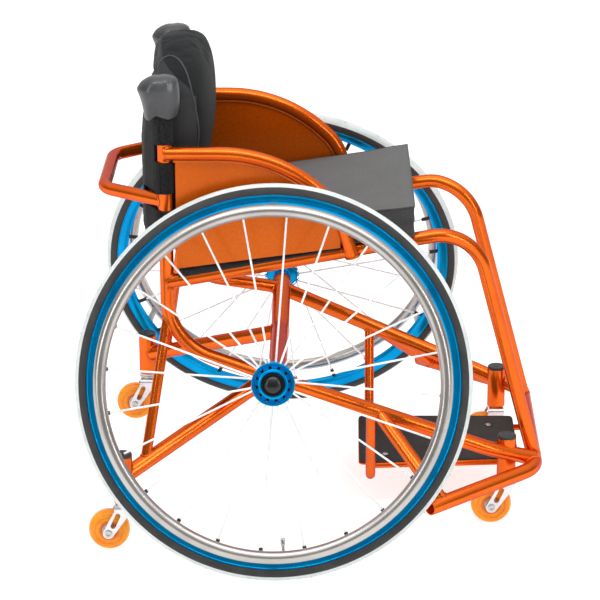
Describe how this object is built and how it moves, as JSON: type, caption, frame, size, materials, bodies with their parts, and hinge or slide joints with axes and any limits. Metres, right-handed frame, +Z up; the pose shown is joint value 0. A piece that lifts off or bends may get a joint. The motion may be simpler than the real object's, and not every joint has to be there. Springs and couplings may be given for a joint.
{
  "type": "basketball wheelchair",
  "caption": "Rigid sports wheelchair with a welded tube frame, strongly cambered spoked wheels, wrap-round front bumper, side guards, footplate and swivel casters front and rear.",
  "frame": {"origin": "centre of the chair's length and width, on the floor", "axes": "+X forward, +Y to the chair's left, +Z up"},
  "size_m": [0.7667, 0.8864, 0.797],
  "materials": {
    "frame_paint": "gloss metallic orange paint",
    "rim_blue": "gloss anodised blue",
    "pushrim_silver": "satin silver",
    "fork_silver": "bright silver",
    "bolt_steel": "plain steel",
    "axle_black": "black axle head and button",
    "tyre_rubber": "dark sidewalls with a light grey tread",
    "caster_amber": "translucent amber polyurethane",
    "cap_plastic": "dark grey plastic",
    "mat_grit": "charcoal grip tread",
    "sling_web": "black woven web",
    "seat_fabric": "mid grey seat cover",
    "back_fabric": "dark slate knitted cover",
    "cap_leather": "soft grey leather-like hood"
  },
  "bodies": {
    "frame": {"right_seat_rail": "frame_paint", "right_back_post": "frame_paint", "right_lower_rail": "frame_paint", "right_rear_stay": "frame_paint", "right_rear_strut": "frame_paint", "right_wing_brace": "frame_paint", "right_guard_tube": "frame_paint", "right_guard_panel": "frame_paint", "right_post_cap": "cap_leather", "right_axle_pin": "axle_black", "right_front_caster_head": "frame_paint", "right_front_head_cap": "cap_plastic", "right_rear_caster_head": "frame_paint", "right_rear_head_cap": "cap_plastic", "left_seat_rail": "frame_paint", "left_back_post": "frame_paint", "left_lower_rail": "frame_paint", "left_rear_stay": "frame_paint", "left_rear_strut": "frame_paint", "left_wing_brace": "frame_paint", "left_guard_tube": "frame_paint", "left_guard_panel": "frame_paint", "left_post_cap": "cap_leather", "left_axle_pin": "axle_black", "left_front_caster_head": "frame_paint", "left_front_head_cap": "cap_plastic", "left_rear_caster_head": "frame_paint", "left_rear_head_cap": "cap_plastic", "camber_bar": "frame_paint", "front_bumper": "frame_paint", "push_bar": "frame_paint", "footrest_hanger": "frame_paint", "footplate": "frame_paint", "grip_mat": "mat_grit", "seat_sling": "sling_web", "seat_cushion": "seat_fabric", "back_upholstery": "back_fabric", "back_pad": "back_fabric"},
    "right_wheel": {"right_tyre": "tyre_rubber", "right_rim": "rim_blue", "right_pushrim": "pushrim_silver", "right_spoked_hub": "rim_blue"},
    "right_button": {"right_release_button": "axle_black"},
    "right_front_fork": {"right_front_caster_fork": "fork_silver", "right_front_caster_bolt": "bolt_steel"},
    "right_front_caster": {"right_front_caster_wheel": "caster_amber"},
    "right_rear_fork": {"right_rear_caster_fork": "fork_silver", "right_rear_caster_bolt": "bolt_steel"},
    "right_rear_caster": {"right_rear_caster_wheel": "caster_amber"},
    "left_wheel": {"left_tyre": "tyre_rubber", "left_rim": "rim_blue", "left_pushrim": "pushrim_silver", "left_spoked_hub": "rim_blue"},
    "left_button": {"left_release_button": "axle_black"},
    "left_front_fork": {"left_front_caster_fork": "fork_silver", "left_front_caster_bolt": "bolt_steel"},
    "left_front_caster": {"left_front_caster_wheel": "caster_amber"},
    "left_rear_fork": {"left_rear_caster_fork": "fork_silver", "left_rear_caster_bolt": "bolt_steel"},
    "left_rear_caster": {"left_rear_caster_wheel": "caster_amber"}
  },
  "joints": [
    {"name": "right_wheel_spin", "type": "hinge", "parent": "frame", "child": "right_wheel", "pos_m": [-0.06335, -0.3097, 0.3068], "axis": [0, -0.9572, 0.2894], "continuous": true},
    {"name": "right_button_press", "type": "slide", "parent": "frame", "child": "right_button", "axis": [0, 0.9572, -0.2894], "range_m": [0, 0.004], "stiffness_N_per_m": 500, "springref_m": -0.001},
    {"name": "right_front_swivel", "type": "hinge", "parent": "frame", "child": "right_front_fork", "pos_m": [0.32265, -0.163, 0.034], "axis": [0, 0, 1], "continuous": true},
    {"name": "right_front_roll", "type": "hinge", "parent": "right_front_fork", "child": "right_front_caster", "pos_m": [0.29815, -0.163, 0.034], "axis": [0, 1, 0], "continuous": true},
    {"name": "right_rear_swivel", "type": "hinge", "parent": "frame", "child": "right_rear_fork", "pos_m": [-0.31235, -0.288, 0.0402], "axis": [0, 0, 1], "continuous": true},
    {"name": "right_rear_roll", "type": "hinge", "parent": "right_rear_fork", "child": "right_rear_caster", "pos_m": [-0.33685, -0.288, 0.0402], "axis": [0, 1, 0], "continuous": true},
    {"name": "left_wheel_spin", "type": "hinge", "parent": "frame", "child": "left_wheel", "pos_m": [-0.06335, 0.3097, 0.3068], "axis": [0, 0.9572, 0.2894], "continuous": true},
    {"name": "left_button_press", "type": "slide", "parent": "frame", "child": "left_button", "axis": [0, -0.9572, -0.2894], "range_m": [0, 0.004], "stiffness_N_per_m": 500, "springref_m": -0.001},
    {"name": "left_front_swivel", "type": "hinge", "parent": "frame", "child": "left_front_fork", "pos_m": [0.32265, 0.163, 0.034], "axis": [0, 0, 1], "continuous": true},
    {"name": "left_front_roll", "type": "hinge", "parent": "left_front_fork", "child": "left_front_caster", "pos_m": [0.29815, 0.163, 0.034], "axis": [0, 1, 0], "continuous": true},
    {"name": "left_rear_swivel", "type": "hinge", "parent": "frame", "child": "left_rear_fork", "pos_m": [-0.31235, 0.288, 0.0402], "axis": [0, 0, 1], "continuous": true},
    {"name": "left_rear_roll", "type": "hinge", "parent": "left_rear_fork", "child": "left_rear_caster", "pos_m": [-0.33685, 0.288, 0.0402], "axis": [0, 1, 0], "continuous": true}
  ]
}
